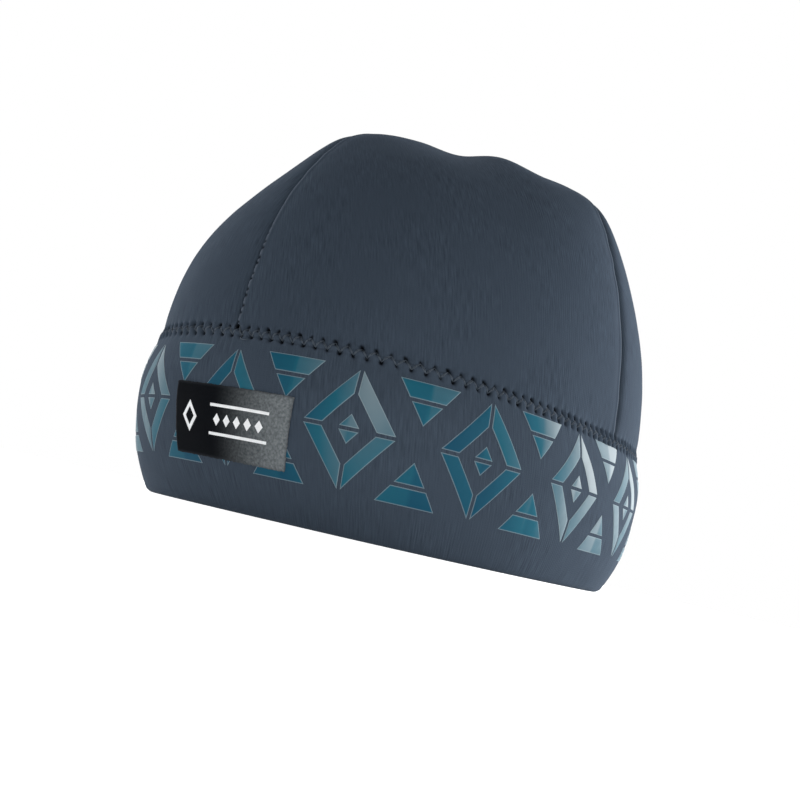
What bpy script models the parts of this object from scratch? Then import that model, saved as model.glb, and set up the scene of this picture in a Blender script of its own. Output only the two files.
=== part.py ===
# Neoprene beanie: four crown panels sewn to a folded band, with a woven label on its front.
# Metres, +Z up. The front faces -Y, +X is the wearer's left, and the rim stands on z = 0.
# Azimuth is in degrees round the head: 0 at the front, 90 at the wearer's left, 180 at the back.
import math
from collections import namedtuple

import bmesh
import bpy
from mathutils import Vector

# Overall sizes
HAT_LENGTH = 0.195  # from the label's face to the back of the band
HAT_WIDTH = 0.173  # across the band where it is widest
HAT_HEIGHT = 0.150  # from the rim to the middle of the crown
WIDEST_SET_BACK = 0.003  # how far the widest place lies behind the middle of the length

# Band: one strip folded double at the rim
BAND_HEIGHT = 0.0520
BAND_FRONT_RISE = 0.0030  # how much taller the band is at the front
BAND_WALL = 0.0044
RIM_ROUND = 0.0018

# Crown
CROWN_WALL = 0.0022
SIDE_SEAM_AZIMUTH = 96.0
SIDE_SEAM_BOW = 8.5  # degrees that a side seam bows towards the front at half climb
SIDE_SEAM_SWING = 8.0  # degrees that it has turned to the back at the middle
FRONT_SEAM_SWING = 12.0  # degrees that the front seam has turned to the wearer's right at the middle
SEAM_RIDGE = 0.0020  # how far the crown stands up along its seams
SEAM_RIDGE_TURN = 15.0
APEX_DIP = 0.0026
APEX_DIP_REACH = 0.30  # as a share of the way from the middle to the band
TOP_SQUARENESS = 1.85  # of the plan near the middle of the crown

# Seams
SEAM_GAP = 0.0003
SEAM_DIP = 0.0006  # how far a sewn edge is pulled in
SEAM_ROLL = 0.0050  # width of the stretch that rolls down to a sewn edge
TIP_REACH = 0.0003  # the panels' tips stop about this far short of the middle

# Label
LABEL_WIDTH = 0.047
LABEL_HEIGHT = 0.0215
LABEL_THICKNESS = 0.0008
LABEL_ASIDE = 0.0050  # its middle, along the band from the front seam to the wearer's left
LABEL_MIDDLE_HEIGHT = 0.0263
LABEL_GAP = 0.0003

# Faces along each surface
PANEL_COLUMNS = 18
PANEL_ROWS = 20
BAND_COLUMNS = 96
BAND_SIDE_ROWS = 7
FOLD_STEPS = 3
LABEL_COLUMNS = 14
LABEL_ROWS = 6
EDGE_CROWDING = 0.55  # 0 spaces the faces evenly, 1 crowds them against the sewn edges

# Plan of the band at shares of its height: the reaches are shares of the widest ones.
Section = namedtuple("Section", "climb width front back squareness")
BAND_SECTIONS = (
    Section(climb=0.00, width=0.920, front=0.835, back=0.860, squareness=2.45),
    Section(climb=0.20, width=0.975, front=0.915, back=0.925, squareness=2.40),
    Section(climb=0.50, width=1.000, front=0.980, back=0.980, squareness=2.30),
    Section(climb=0.75, width=1.000, front=1.000, back=1.000, squareness=2.30),
    Section(climb=1.00, width=0.957, front=0.980, back=0.988, squareness=2.30),
)

# How full the crown's profile is in each direction, alike on both sides: 2 is an ellipse, more is squarer.
Profile = namedtuple("Profile", "azimuth outward upward")
CROWN_PROFILES = (
    Profile(azimuth=0, outward=2.24, upward=2.20),
    Profile(azimuth=45, outward=2.04, upward=2.15),
    Profile(azimuth=90, outward=2.90, upward=2.55),
    Profile(azimuth=135, outward=1.76, upward=1.92),
    Profile(azimuth=180, outward=2.10, upward=2.10),
)

# Soft dents: reach and spread are shares of the way from the middle to the band, turn is the half width
# in degrees, and depth is a share of the hat's height. A hump has a negative depth.
Dent = namedtuple("Dent", "azimuth reach depth turn spread")
DENTS = (
    Dent(azimuth=-34, reach=0.72, depth=0.034, turn=18, spread=0.16),
    Dent(azimuth=-7, reach=0.62, depth=-0.013, turn=10, spread=0.13),
    Dent(azimuth=34, reach=0.42, depth=0.014, turn=18, spread=0.18),
    Dent(azimuth=52, reach=0.38, depth=-0.014, turn=18, spread=0.18),
    Dent(azimuth=84, reach=0.52, depth=0.018, turn=18, spread=0.16),
    Dent(azimuth=96, reach=0.74, depth=-0.012, turn=10, spread=0.11),
)

# A seam starts at its azimuth, bows out by half climb and has swung aside at the middle, all in degrees.
Seam = namedtuple("Seam", "azimuth bow swing")
FRONT_SEAM = Seam(azimuth=0.0, bow=0.0, swing=-FRONT_SEAM_SWING)
LEFT_SEAM = Seam(azimuth=SIDE_SEAM_AZIMUTH, bow=-SIDE_SEAM_BOW, swing=SIDE_SEAM_SWING)
BACK_SEAM = Seam(azimuth=180.0, bow=0.0, swing=0.0)
BACK_SEAM_AGAIN = Seam(azimuth=-180.0, bow=0.0, swing=0.0)
RIGHT_SEAM = Seam(azimuth=-SIDE_SEAM_AZIMUTH, bow=SIDE_SEAM_BOW, swing=-SIDE_SEAM_SWING)
PANELS = {
    "crown_front_left": (FRONT_SEAM, LEFT_SEAM),
    "crown_back_left": (LEFT_SEAM, BACK_SEAM),
    "crown_back_right": (BACK_SEAM_AGAIN, RIGHT_SEAM),
    "crown_front_right": (RIGHT_SEAM, FRONT_SEAM),
}

Finish = namedtuple("Finish", "colour roughness")
CROWN_JERSEY = Finish((0.031, 0.041, 0.053, 1.0), 0.78)
BAND_JERSEY = Finish((0.038, 0.050, 0.066, 1.0), 0.78)
LABEL_SATIN = Finish((0.006, 0.007, 0.009, 1.0), 0.45)


def clear_scene():
    for old in list(bpy.data.objects):
        bpy.data.objects.remove(old, do_unlink=True)


def smooth_value(rows, key, column, at, level_ends):
    """One column of a table at a place between its rows, on a smooth curve through them."""
    places = [getattr(row, key) for row in rows]
    values = [getattr(row, column) for row in rows]
    last = len(rows) - 1
    slopes = []
    for i in range(last + 1):
        before, after = max(i - 1, 0), min(i + 1, last)
        level = level_ends and i in (0, last)
        slopes.append(0.0 if level else (values[after] - values[before]) / (places[after] - places[before]))
    at = min(max(at, places[0]), places[-1])
    i = max(j for j in range(last) if places[j] <= at)
    width = places[i + 1] - places[i]
    s = (at - places[i]) / width
    start = (1 + 2 * s) * (1 - s) ** 2 * values[i] + s * (1 - s) ** 2 * width * slopes[i]
    end = s**2 * (3 - 2 * s) * values[i + 1] - s**2 * (1 - s) * width * slopes[i + 1]
    return start + end


def turn_between(azimuth, other):
    """Signed angle from one azimuth to another, from -180 to 180 degrees."""
    return (azimuth - other + 180) % 360 - 180


def bell(distance, width):
    return math.exp(-((distance / width) ** 2))


def heading(azimuth):
    """Level unit vector that points out from the head at an azimuth."""
    turn = math.radians(azimuth)
    return Vector((math.sin(turn), -math.cos(turn), 0.0))


def middle():
    return Vector((0.0, WIDEST_SET_BACK, 0.0))


def front_reach():
    return HAT_LENGTH / 2 + WIDEST_SET_BACK - LABEL_GAP - LABEL_THICKNESS


def back_reach():
    return HAT_LENGTH / 2 - WIDEST_SET_BACK


def plan_radius(azimuth, section, squareness):
    """Distance from the middle to a rounded plan outline."""
    out = heading(azimuth)
    across = abs(out.x) / (section.width * HAT_WIDTH / 2)
    reach = section.front * front_reach() if out.y < 0 else section.back * back_reach()
    along = abs(out.y) / reach
    return (across**squareness + along**squareness) ** (-1 / squareness)


def band_height(azimuth):
    facing_front = max(math.cos(math.radians(azimuth)), 0.0)
    return BAND_HEIGHT + BAND_FRONT_RISE * facing_front**2


def band_section(climb):
    columns = [smooth_value(BAND_SECTIONS, "climb", name, climb, False) for name in Section._fields[1:]]
    return Section(climb, *columns)


def band_point(azimuth, height):
    """Point on the band's outer face."""
    section = band_section(height / band_height(azimuth))
    radius = plan_radius(azimuth, section, section.squareness)
    return middle() + radius * heading(azimuth) + Vector((0.0, 0.0, height))


def band_outward(azimuth, height):
    """Level unit vector square to the band's outer face, seen in plan."""
    along = band_point(azimuth + 0.5, height) - band_point(azimuth - 0.5, height)
    return Vector((along.y, -along.x, 0.0)).normalized()


def seam_azimuth(seam, climb):
    return seam.azimuth + seam.bow * math.sin(math.pi * climb) + seam.swing * climb**2


def crown_point(azimuth, climb):
    """Point on the crown's smooth outer form, climb 0 at the band and 1 at the middle."""
    facing = abs(turn_between(azimuth, 0.0))
    outward = smooth_value(CROWN_PROFILES, "azimuth", "outward", facing, True)
    upward = smooth_value(CROWN_PROFILES, "azimuth", "upward", facing, True)
    tilt = math.radians(90 * climb)
    reach = max(math.cos(tilt), 0.0) ** (2 / outward)
    base = band_height(azimuth) + SEAM_GAP / 2
    height = base + (HAT_HEIGHT - base) * math.sin(tilt) ** (2 / upward)

    seams = (FRONT_SEAM, LEFT_SEAM, BACK_SEAM, RIGHT_SEAM)
    beside = min(abs(turn_between(azimuth, seam_azimuth(seam, climb))) for seam in seams)
    height += SEAM_RIDGE * bell(beside, SEAM_RIDGE_TURN) * 4 * reach * (1 - reach)
    height -= APEX_DIP * bell(reach, APEX_DIP_REACH)

    rim = BAND_SECTIONS[-1]
    squareness = TOP_SQUARENESS + (rim.squareness - TOP_SQUARENESS) * reach
    radius = plan_radius(azimuth, rim, squareness) * reach
    fade = 1 - bell(climb, 0.1)
    for dent in DENTS:
        drop = dent.depth * HAT_HEIGHT * fade
        drop *= bell(turn_between(azimuth, dent.azimuth), dent.turn) * bell(reach - dent.reach, dent.spread)
        height -= drop
        radius -= drop / 2
    return middle() + radius * heading(azimuth) + Vector((0.0, 0.0, height))


def crown_normal(azimuth, climb):
    around = crown_point(azimuth + 0.5, climb) - crown_point(azimuth - 0.5, climb)
    up = crown_point(azimuth, climb + 0.001) - crown_point(azimuth, max(climb - 0.001, 0.0))
    return around.cross(up).normalized()


def sewn_dip(distance):
    """How far the outer face is pulled in at a distance from a sewn edge."""
    return SEAM_DIP * max(1 - distance / SEAM_ROLL, 0.0) ** 2


def crowd_both(share):
    return share - EDGE_CROWDING * math.sin(2 * math.pi * share) / (2 * math.pi)


def crowd_start(share):
    return share * (1 - EDGE_CROWDING) + EDGE_CROWDING * share**2


def tip_climb():
    return math.degrees(math.acos(TIP_REACH / (HAT_WIDTH / 2))) / 90


def panel_point(seams, across, up, depth):
    """Point of a crown panel: across from its first seam, up from the band, depth 0 outside and 1 inside."""
    climb = crowd_start(up) * tip_climb()
    edges = [seam_azimuth(seam, climb) for seam in seams]
    radii = [(crown_point(edge, climb) - middle()).to_2d().length for edge in edges]
    half_turn = (edges[1] - edges[0]) / 2
    insets = [min(math.degrees(SEAM_GAP / 2 / radius), half_turn) for radius in radii]
    start, end = edges[0] + insets[0], edges[1] - insets[1]
    azimuth = start + (end - start) * (crowd_both(across) if up < 1 else 0.5)

    from_seams = [math.radians(abs(azimuth - edge)) * radius for edge, radius in zip(edges, radii)]
    from_band = (crown_point(azimuth, climb) - crown_point(azimuth, 0.0)).length
    dip = sewn_dip(min(*from_seams, from_band))
    inward = dip + depth * (CROWN_WALL - dip)
    return crown_point(azimuth, climb) - inward * crown_normal(azimuth, climb)


def band_profile(azimuth):
    """(inset, height) round the band's wall: down its outer face, under the fold and up its inner face."""
    top = band_height(azimuth) - SEAM_GAP / 2
    fold = min(RIM_ROUND, 0.45 * BAND_WALL)
    shares = [1 - crowd_start(1 - i / BAND_SIDE_ROWS) for i in range(BAND_SIDE_ROWS, -1, -1)]
    heights = [fold + (top - fold) * share for share in shares]
    outer = [(sewn_dip(top - height), height) for height in heights]
    turns = [math.radians(90 * i / FOLD_STEPS) for i in range(1, FOLD_STEPS + 1)]
    under = [(fold * (1 - math.cos(turn)), fold * (1 - math.sin(turn))) for turn in turns]
    inner = [(BAND_WALL - inset, height) for inset, height in reversed(under)]
    return outer + under + inner + [(BAND_WALL, height) for height in reversed(heights)]


def band_wall_point(around, step):
    azimuth = 360 * around
    profile = band_profile(azimuth)
    inset, height = profile[step % len(profile)]
    return band_point(azimuth, height) - inset * band_outward(azimuth, height)


def label_point(across, up, depth):
    """Point of the label: depth 0 on its face and 1 on its back."""
    radius = (band_point(0.0, LABEL_MIDDLE_HEIGHT) - middle()).to_2d().length
    aside = LABEL_ASIDE + (across - 0.5) * LABEL_WIDTH
    azimuth = math.degrees(aside / radius)
    height = LABEL_MIDDLE_HEIGHT + (up - 0.5) * LABEL_HEIGHT
    around = band_point(azimuth + 0.5, height) - band_point(azimuth - 0.5, height)
    climbing = band_point(azimuth, height + 0.0005) - band_point(azimuth, height - 0.0005)
    proud = LABEL_GAP + LABEL_THICKNESS * (1 - depth)
    return band_point(azimuth, height) + proud * around.cross(climbing).normalized()


def unit_grid(columns, rows):
    """Flat mesh whose x and y run from 0 to 1."""
    mesh = bmesh.new()
    bmesh.ops.create_grid(mesh, x_segments=columns, y_segments=rows, size=0.5)
    bmesh.ops.translate(mesh, verts=mesh.verts, vec=(0.5, 0.5, 0.0))
    return mesh


def unit_slab(columns, rows):
    """Closed mesh of two such grids, with z 0 on one and 1 on the other."""
    mesh = unit_grid(columns, rows)
    lifted = bmesh.ops.extrude_face_region(mesh, geom=mesh.faces[:], use_keep_orig=True)
    verts = [item for item in lifted["geom"] if isinstance(item, bmesh.types.BMVert)]
    bmesh.ops.translate(mesh, verts=verts, vec=(0.0, 0.0, 1.0))
    return mesh


def new_material(name, finish):
    material = bpy.data.materials.new(name)
    material.use_nodes = True
    shader = material.node_tree.nodes["Principled BSDF"]
    shader.inputs["Base Color"].default_value = finish.colour
    shader.inputs["Roughness"].default_value = finish.roughness
    shader.inputs["Metallic"].default_value = 0.0
    return material


def add_object(name, mesh, place, finish, collection):
    """Turns a unit mesh into a piece: each of its points goes where the piece's own rule says."""
    for vert in mesh.verts:
        vert.co = place(*vert.co)
    bmesh.ops.remove_doubles(mesh, verts=mesh.verts, dist=1e-6)
    bmesh.ops.recalc_face_normals(mesh, faces=mesh.faces)
    data = bpy.data.meshes.new(name)
    mesh.to_mesh(data)
    mesh.free()
    data.shade_smooth()
    data.set_sharp_from_angle(angle=math.radians(40))
    data.materials.append(new_material(name, finish))
    piece = bpy.data.objects.new(name, data)
    collection.objects.link(piece)
    return piece


def build_crown(collection):
    for name, seams in PANELS.items():
        mesh = unit_slab(PANEL_COLUMNS, PANEL_ROWS)

        def place(across, up, depth, seams=seams):
            return panel_point(seams, across, up, depth)

        add_object(name, mesh, place, CROWN_JERSEY, collection)


def build_band(collection):
    steps = len(band_profile(0.0))

    def place(around, along, _):
        return band_wall_point(around, round(along * steps))

    add_object("band", unit_grid(BAND_COLUMNS, steps), place, BAND_JERSEY, collection)


def build_label(collection):
    add_object("label", unit_slab(LABEL_COLUMNS, LABEL_ROWS), label_point, LABEL_SATIN, collection)


def build():
    clear_scene()
    collection = bpy.data.collections.new("neoprene_beanie")
    bpy.context.scene.collection.children.link(collection)
    build_crown(collection)
    build_band(collection)
    build_label(collection)


build()
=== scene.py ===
# Slate-blue neoprene beanie: sewn crown, folded band, woven label and a foil print round the band.
# Metres, +Z up. The label faces -Y, the rim stands on z = 0, and azimuth 90 is the wearer's left.
import math

import bpy
import numpy as np
from mathutils import Matrix, Quaternion, Vector, noise
from mathutils.bvhtree import BVHTree


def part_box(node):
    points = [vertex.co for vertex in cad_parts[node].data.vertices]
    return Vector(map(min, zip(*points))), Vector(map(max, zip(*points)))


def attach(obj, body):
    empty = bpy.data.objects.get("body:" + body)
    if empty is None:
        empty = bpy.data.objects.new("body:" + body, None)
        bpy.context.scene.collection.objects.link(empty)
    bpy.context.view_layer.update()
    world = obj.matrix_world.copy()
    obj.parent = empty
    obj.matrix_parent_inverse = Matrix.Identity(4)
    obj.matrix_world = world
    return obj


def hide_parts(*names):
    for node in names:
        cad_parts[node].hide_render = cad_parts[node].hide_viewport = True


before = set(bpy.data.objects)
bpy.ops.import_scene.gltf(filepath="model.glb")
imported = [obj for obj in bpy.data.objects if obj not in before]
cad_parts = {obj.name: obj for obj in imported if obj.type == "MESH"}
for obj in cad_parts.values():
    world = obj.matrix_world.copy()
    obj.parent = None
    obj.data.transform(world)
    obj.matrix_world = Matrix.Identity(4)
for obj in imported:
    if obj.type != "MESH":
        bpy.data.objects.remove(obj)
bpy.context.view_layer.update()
mm = 0.001
cm = 0.01
print("frame loaded:", sorted(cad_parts))

# Plan middle of the head, and a point inside the crown that every outer face looks away from
hat = {
    "middleX": 0.0,
    "middleY": 0.003,
    "heartHeight": 0.030,
    "outerFacing": 0.35,  # least cosine between an outer face's normal and the way from that point
    "farOut": 0.2,  # where rays towards the hat start
    "columns": 96,  # places round the band where its top edge is measured
}
heart = Vector((hat["middleX"], hat["middleY"], hat["heartHeight"]))


# Selecting and shaping

def pick(obj):
    if bpy.context.object and bpy.context.object.mode != "OBJECT":
        bpy.ops.object.mode_set(mode="OBJECT")
    bpy.ops.object.select_all(action="DESELECT")
    obj.select_set(True)
    bpy.context.view_layer.objects.active = obj


def editAll(obj, kind="FACE"):
    pick(obj)
    bpy.ops.object.mode_set(mode="EDIT")
    bpy.ops.mesh.select_mode(type=kind)
    bpy.ops.mesh.select_all(action="SELECT")


def editFaces(obj, chosen):  # enters edit mode with only these faces selected
    editAll(obj)
    bpy.ops.mesh.select_all(action="DESELECT")
    bpy.ops.object.mode_set(mode="OBJECT")
    obj.data.polygons.foreach_set("select", np.asarray(chosen, bool))
    bpy.ops.object.mode_set(mode="EDIT")


def leaveEdit():
    bpy.ops.object.mode_set(mode="OBJECT")


def applyModifier(obj, kind, **settings):
    pick(obj)
    modifier = obj.modifiers.new(kind.lower(), kind)
    for name, value in settings.items():
        setattr(modifier, name, value)
    bpy.ops.object.modifier_apply(modifier=modifier.name)


def getPoints(mesh):
    flat = np.zeros(len(mesh.vertices) * 3, np.float32)
    mesh.vertices.foreach_get("co", flat)
    return flat.reshape(-1, 3).astype(float)


def setPoints(mesh, points):
    mesh.vertices.foreach_set("co", np.asarray(points, np.float32).ravel())
    mesh.update()


def faceData(mesh):
    centres = np.zeros(len(mesh.polygons) * 3, np.float32)
    normals = np.zeros(len(mesh.polygons) * 3, np.float32)
    mesh.polygons.foreach_get("center", centres)
    mesh.polygons.foreach_get("normal", normals)
    return centres.reshape(-1, 3).astype(float), normals.reshape(-1, 3).astype(float)


def paint(mesh, name, values):  # a value for each vertex, which the materials read
    attribute = mesh.attributes.new(name, "FLOAT", "POINT")
    attribute.data.foreach_set("value", np.asarray(values, np.float32))


def readBack(mesh, name):
    values = np.zeros(len(mesh.vertices), np.float32)
    mesh.attributes[name].data.foreach_get("value", values)
    return values.astype(float)


def smoothStep(values, low, high):
    share = np.clip((np.asarray(values, float) - low) / (high - low), 0, 1)
    return share * share * (3 - 2 * share)


def bell(values, width):
    return np.exp(-((values / width) ** 2))


def azimuthOf(points):
    return np.degrees(np.arctan2(points[:, 0] - hat["middleX"], hat["middleY"] - points[:, 1]))


def reachOf(points):
    return np.hypot(points[:, 0] - hat["middleX"], points[:, 1] - hat["middleY"])


def heading(azimuth):
    turn = math.radians(azimuth)
    return Vector((math.sin(turn), -math.cos(turn), 0.0))


def isOuter(centres, normals):
    away = centres - np.array(heart)
    away /= np.linalg.norm(away, axis=1)[:, None]
    return (away * normals).sum(axis=1) > hat["outerFacing"]


def faceTree(pieces, outer=True):  # the outer faces of these pieces, or all their other faces
    points, faces = [], []
    for piece in pieces:
        chosen = isOuter(*faceData(piece.data)) == outer
        base = len(points)
        points += [Vector(p) for p in getPoints(piece.data)]
        faces += [tuple(base + v for v in f.vertices)
                  for f, keep in zip(piece.data.polygons, chosen) if keep]
    return BVHTree.FromPolygons(points, faces)


def runAlong(line):  # how far along a line each of its points lies
    return np.concatenate(([0.0], np.linalg.norm(np.diff(line, axis=0), axis=1).cumsum()))


# Seams measured on the frame
seamSearch = {
    "topEdge": 0.2 * mm,  # how near the band's top its outer edge lies
    "across": 0.8 * mm,  # how near to each other the edges of two panels lie
    "near": 3 * mm,  # an edge is an inner one if another is this near and so much further out
    "further": 1.2 * mm,
    "spacing": 1.5 * mm,
    "points": 400,
}


def nodePoints(name):
    return np.unique(np.round(getPoints(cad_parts[name].data), 6), axis=0)


def measureBandTop():
    points = nodePoints("band")
    turns, reaches = azimuthOf(points), reachOf(points)
    step = 360 / hat["columns"]
    columns = np.round(turns / step).astype(int) % hat["columns"]
    loop = []
    for column in range(hat["columns"]):
        inside = columns == column
        top = points[inside, 2].max()
        edge = inside & (points[:, 2] > top - seamSearch["topEdge"])
        loop.append(points[np.flatnonzero(edge)[reaches[edge].argmax()]])
    loop = np.array(loop)
    turns = azimuthOf(loop) % 360
    order = turns.argsort()
    turns = turns[order]
    loop = loop[np.append(order, order[0])]  # closed: it ends where it starts
    along = runAlong(loop)
    return {
        "turn": np.append(turns, turns[0] + 360),
        "reach": reachOf(loop),
        "height": loop[:, 2],
        "along": along,
        "length": along[-1],
    }


bandTop = measureBandTop()


def readTop(azimuth, name):  # a value of the band's top edge at any azimuth
    first = bandTop["turn"][0]
    return np.interp((np.asarray(azimuth) - first) % 360 + first, bandTop["turn"], bandTop[name])


def curveThrough(points, count):
    points = np.vstack((2 * points[0] - points[1], points, 2 * points[-1] - points[-2]))
    line = []
    for share in np.linspace(0, len(points) - 3 - 1e-9, count):
        i, s = int(share), share - int(share)
        a, b, c, d = points[i:i + 4]
        line.append(0.5 * (2 * b + (c - a) * s + (2 * a - 5 * b + 4 * c - d) * s**2
                           + (3 * b - a - 3 * c + d) * s**3))
    return np.array(line)


def measureCrownSeam(nameA, nameB):  # the line between two panels' outer edges, from the band up
    a, b = nodePoints(nameA), nodePoints(nameB)
    pairs = []
    for point in a:
        gaps = np.linalg.norm(b - point, axis=1)
        if gaps.min() < seamSearch["across"]:
            pairs.append((point + b[gaps.argmin()]) / 2)
    pairs = np.array(pairs)
    away = np.linalg.norm(pairs - np.array(heart), axis=1)
    outer = []
    for pair, far in zip(pairs, away):
        beside = np.linalg.norm(pairs - pair, axis=1) < seamSearch["near"]
        if not (beside & (away > far + seamSearch["further"])).any():
            outer.append(pair)
    outer = np.array(outer)
    climb = np.arctan2(outer[:, 2] - hat["heartHeight"], reachOf(outer))
    outer = outer[climb.argsort()]
    spaced = [outer[0]]
    for point in outer[1:]:
        if np.linalg.norm(point - spaced[-1]) > seamSearch["spacing"]:
            spaced.append(point)
    return curveThrough(np.array(spaced), seamSearch["points"])


crownSeams = {
    "front": measureCrownSeam("crown_front_left", "crown_front_right"),
    "left": measureCrownSeam("crown_front_left", "crown_back_left"),
    "back": measureCrownSeam("crown_back_left", "crown_back_right"),
    "right": measureCrownSeam("crown_front_right", "crown_back_right"),
}
print("band seam length:", round(bandTop["length"], 4))


def nearLine(points, line):  # nearest place on a line: its distance along, the gap and the point
    along = runAlong(line)
    found = []
    for chunk in np.array_split(points, max(1, len(points) // 4000)):  # in chunks, to spare memory
        best = ((chunk[:, None, :] - line[None, :, :]) ** 2).sum(axis=2).argmin(axis=1)
        low = np.clip(best - 1, 0, len(line) - 2)
        rows = []
        for side in (0, 1):  # the pieces of line before and after the nearest point
            index = np.clip(low + side, 0, len(line) - 2)
            start, run = line[index], line[index + 1] - line[index]
            share = np.clip(((chunk - start) * run).sum(axis=1) / (run**2).sum(axis=1), 0, 1)
            spot = start + run * share[:, None]
            gap = np.linalg.norm(chunk - spot, axis=1)
            place = along[index] + share * np.linalg.norm(run, axis=1)
            rows.append(np.column_stack((place, gap, spot)))
        before, after = rows
        found.append(np.where((after[:, 1] < before[:, 1])[:, None], after, before))
    found = np.vstack(found)
    return found[:, 0], found[:, 1], found[:, 2:]


# Flatlock seam between crown and band: two rows of needle holes and a zigzag thread between them
flatlock = {
    "pitch": 3.7 * mm,
    "looser": 0.9 * mm,  # how much longer the stitches are at two places of the front, by azimuth
    "looseTurns": (-10, 34),
    "looseReach": 12,
    "halfWidth": 1.35 * mm,
    "fade": (10 * mm, 18 * mm),  # where its moves of the fabric end
    "closing": 0.16 * mm,  # how far crown and band are drawn to each other, and how near the seam
    "closingReach": 1.5 * mm,
    "uneven": 0.20,  # from stitch to stitch, and slowly along the seam
    "unevenSlowly": 0.12,
    "holeDepth": 0.95 * mm,
    "holeWidth": 0.60 * mm,
    "holeHeight": 0.80 * mm,
    "holeLean": 0.30,
    "leanRange": 0.35,  # how much holes differ in lean and in size
    "sizeRange": 0.22,
    "holeShade": (0.12, 0.85),  # where the painted shade in a hole starts, and where it is full
    "legDepth": 0.12 * mm,
    "legSize": 0.30 * mm,
    "legEnd": (0.8, 1.25),  # as shares of the half width
    "puff": 0.46 * mm,
    "puffWidth": 0.26,  # of a pad between two holes, as a share of the pitch
    "puffMiddle": 0.55,  # as a share of the half width
    "fill": 0.34 * mm,
    "fillWidth": 2.4 * mm,
    "pucker": 0.10 * mm,
    "puckerReach": 2.2 * mm,
    "crease": 0.50 * mm,  # under the lower row, beside the front seam
    "creaseWidth": 0.5 * mm,
    "creaseMiddle": 12,
    "creaseReach": 15,
    "shade": 0.22,  # painted shade where crown and band meet
    "shadeWidth": 0.6 * mm,
}


def stitchSpacing():  # stitches counted along the seam, a whole number of them
    turn = (bandTop["turn"] + 180) % 360 - 180
    loose = sum(bell(turn - middle, flatlock["looseReach"]) for middle in flatlock["looseTurns"])
    pitch = flatlock["pitch"] + flatlock["looser"] * loose
    steps = np.diff(bandTop["along"]) * 2 / (pitch[1:] + pitch[:-1])
    count = np.concatenate(([0.0], steps.cumsum()))
    fit = round(count[-1]) / count[-1]
    return {"count": count * fit, "pitch": pitch / fit}


bandTop.update(stitchSpacing())
stitches = round(bandTop["count"][-1])


def turnAtStitch(count):
    return float(np.interp(count % stitches, bandTop["count"], bandTop["turn"]))


def zigzag(count):
    return flatlock["halfWidth"] * (2 / math.pi) * np.arcsin(np.sin(2 * math.pi * count))


def stitchField(turns, above):  # height of the fabric, and how near it is to a needle hole, which is painted as shade
    half = flatlock["halfWidth"]
    count, pitch = readTop(turns, "count"), readTop(turns, "pitch")
    unevenness = (1 + flatlock["uneven"] * np.sin(5.3 * np.floor(count + 0.5))
                  + flatlock["unevenSlowly"] * np.sin(0.7 * count))
    fromLeg = np.abs(above - zigzag(count)) * np.cos(np.arctan(4 * half / pitch))
    inside = 1 - smoothStep(np.abs(above), *(half * share for share in flatlock["legEnd"]))
    holes, pads = 0, 0
    for shift, row in ((0.25, half), (0.75, -half)):
        number = np.floor(count - shift + 0.5)
        lean = flatlock["holeLean"] + flatlock["leanRange"] * np.sin(4.1 * number + row / mm)
        size = 1 + flatlock["sizeRange"] * np.sin(2.3 * number + 5 * row / mm)
        beside = ((count - shift + 0.5) % 1 - 0.5) * pitch + (above - row) * lean
        holes = holes + size * np.exp(-((beside / (size * flatlock["holeWidth"])) ** 2)
                                      - ((above - row) / flatlock["holeHeight"]) ** 2)
        between = ((count - shift) % 1 - 0.5) * pitch + (above - row) * flatlock["holeLean"]
        pads = pads + np.exp(-((between / (flatlock["puffWidth"] * pitch)) ** 2)
                             - ((above - flatlock["puffMiddle"] * row) / half) ** 2)
    beyond = np.maximum(np.abs(above) - half, 0)
    height = -flatlock["holeDepth"] * holes * unevenness
    height -= flatlock["legDepth"] * bell(fromLeg, flatlock["legSize"]) * inside
    height += flatlock["puff"] * pads * unevenness + flatlock["fill"] * bell(above, flatlock["fillWidth"])
    height += (flatlock["pucker"] * np.sin(2 * math.pi * count) * np.sign(-above) * unevenness
               * np.exp(-beyond / flatlock["puckerReach"]) * (1 - inside))
    creased = bell((turns + 180) % 360 - 180 - flatlock["creaseMiddle"], flatlock["creaseReach"])
    height -= flatlock["crease"] * creased * bell(above + half, flatlock["creaseWidth"])
    return height, smoothStep(holes, *flatlock["holeShade"])


def drawTogether(fromSeam):  # how far the fabric beside the seam is moved towards it
    return flatlock["closing"] * (1 - smoothStep(fromSeam, 0, flatlock["closingReach"]))


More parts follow.
